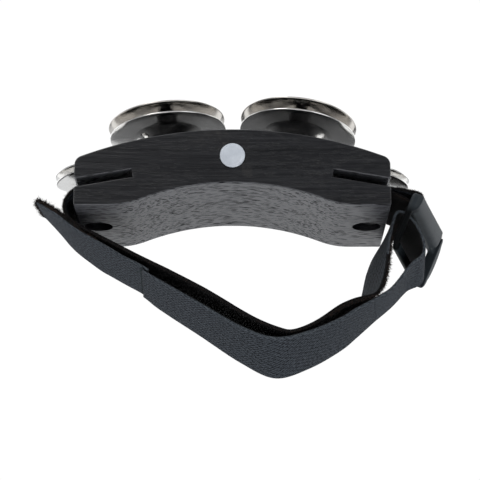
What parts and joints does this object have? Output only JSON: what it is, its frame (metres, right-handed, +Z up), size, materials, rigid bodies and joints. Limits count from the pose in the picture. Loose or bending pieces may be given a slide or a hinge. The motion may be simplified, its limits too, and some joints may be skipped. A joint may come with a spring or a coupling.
{
  "type": "foot jingle percussion block",
  "caption": "Arched black wooden block worn on the instep, with large steel jingle pairs on top, small pairs in end bays, and a hook-and-loop strap through a ring buckle.",
  "frame": {"origin": "centre of the arch crown on the underside of the wooden block, the face that rests on the instep", "axes": "+X along the block, +Y from the badge face to the back face, +Z up through the jingles"},
  "size_m": [0.2012, 0.0706, 0.1349],
  "materials": {
    "wood": "black stained open-grain hardwood, satin",
    "jingle_steel": "mirror-bright nickel-plated steel sheet",
    "fastener_steel": "zinc-plated steel",
    "black_steel": "black-oxide steel",
    "spacer_nylon": "black nylon",
    "webbing": "blue-grey woven webbing, black pile on the other face",
    "hook_tape": "black hook tape",
    "buckle_plastic": "satin moulded plastic",
    "badge_plastic": "light satin disc"
  },
  "bodies": {
    "root": {"wood_block": "wood", "badge": "badge_plastic", "top_left_screw": "fastener_steel", "top_left_washer": "fastener_steel", "top_left_spacer": "spacer_nylon", "top_left_sleeve": "spacer_nylon", "end_left_bolt": "black_steel", "end_left_nut": "fastener_steel", "end_left_washer": "fastener_steel", "end_left_spacer": "spacer_nylon", "end_left_sleeve": "spacer_nylon", "top_right_screw": "fastener_steel", "top_right_washer": "fastener_steel", "top_right_spacer": "spacer_nylon", "top_right_sleeve": "spacer_nylon", "end_right_bolt": "black_steel", "end_right_nut": "fastener_steel", "end_right_washer": "fastener_steel", "end_right_spacer": "spacer_nylon", "end_right_sleeve": "spacer_nylon", "strap_main": "webbing", "strap_return": "webbing", "short_loop": "webbing"},
    "jingle_top_left_lower": {"jingle_top_left_lower": "jingle_steel"},
    "jingle_top_left_upper": {"jingle_top_left_upper": "jingle_steel"},
    "jingle_end_left_lower": {"jingle_end_left_lower": "jingle_steel"},
    "jingle_end_left_upper": {"jingle_end_left_upper": "jingle_steel"},
    "jingle_top_right_lower": {"jingle_top_right_lower": "jingle_steel"},
    "jingle_top_right_upper": {"jingle_top_right_upper": "jingle_steel"},
    "jingle_end_right_lower": {"jingle_end_right_lower": "jingle_steel"},
    "jingle_end_right_upper": {"jingle_end_right_upper": "jingle_steel"},
    "buckle": {"buckle_ring": "buckle_plastic", "strap_loop": "webbing"},
    "tail": {"strap_tail": "webbing", "hook_tab": "hook_tape"}
  },
  "joints": [
    {"name": "jingle_top_left_lower_rattle", "type": "slide", "parent": "root", "child": "jingle_top_left_lower", "axis": [-0.1132, 0, 0.9936], "range_m": [0, 0.0014]},
    {"name": "jingle_top_left_upper_rattle", "type": "slide", "parent": "root", "child": "jingle_top_left_upper", "axis": [-0.1132, 0, 0.9936], "range_m": [0, 0.0014]},
    {"name": "jingle_end_left_lower_rattle", "type": "slide", "parent": "root", "child": "jingle_end_left_lower", "axis": [-0.1736, 0, 0.9848], "range_m": [0, 0.001]},
    {"name": "jingle_end_left_upper_rattle", "type": "slide", "parent": "root", "child": "jingle_end_left_upper", "axis": [-0.1736, 0, 0.9848], "range_m": [0, 0.0012]},
    {"name": "jingle_top_right_lower_rattle", "type": "slide", "parent": "root", "child": "jingle_top_right_lower", "axis": [0.1132, 0, 0.9936], "range_m": [0, 0.0014]},
    {"name": "jingle_top_right_upper_rattle", "type": "slide", "parent": "root", "child": "jingle_top_right_upper", "axis": [0.1132, 0, 0.9936], "range_m": [0, 0.0014]},
    {"name": "jingle_end_right_lower_rattle", "type": "slide", "parent": "root", "child": "jingle_end_right_lower", "axis": [0.1736, 0, 0.9848], "range_m": [0, 0.001]},
    {"name": "jingle_end_right_upper_rattle", "type": "slide", "parent": "root", "child": "jingle_end_right_upper", "axis": [0.1736, 0, 0.9848], "range_m": [0, 0.0012]},
    {"name": "buckle_swing", "type": "hinge", "parent": "root", "child": "buckle", "pos_m": [0.0949, 0, -0.00645], "axis": [-0.2671, -0.9602, 0.0816], "range_deg": [-2, 8]},
    {"name": "tail_peel", "type": "hinge", "parent": "root", "child": "tail", "pos_m": [0.06753, 0, -0.05407], "axis": [-0.0728, -0.9966, -0.0389], "range_deg": [0, 45]}
  ]
}
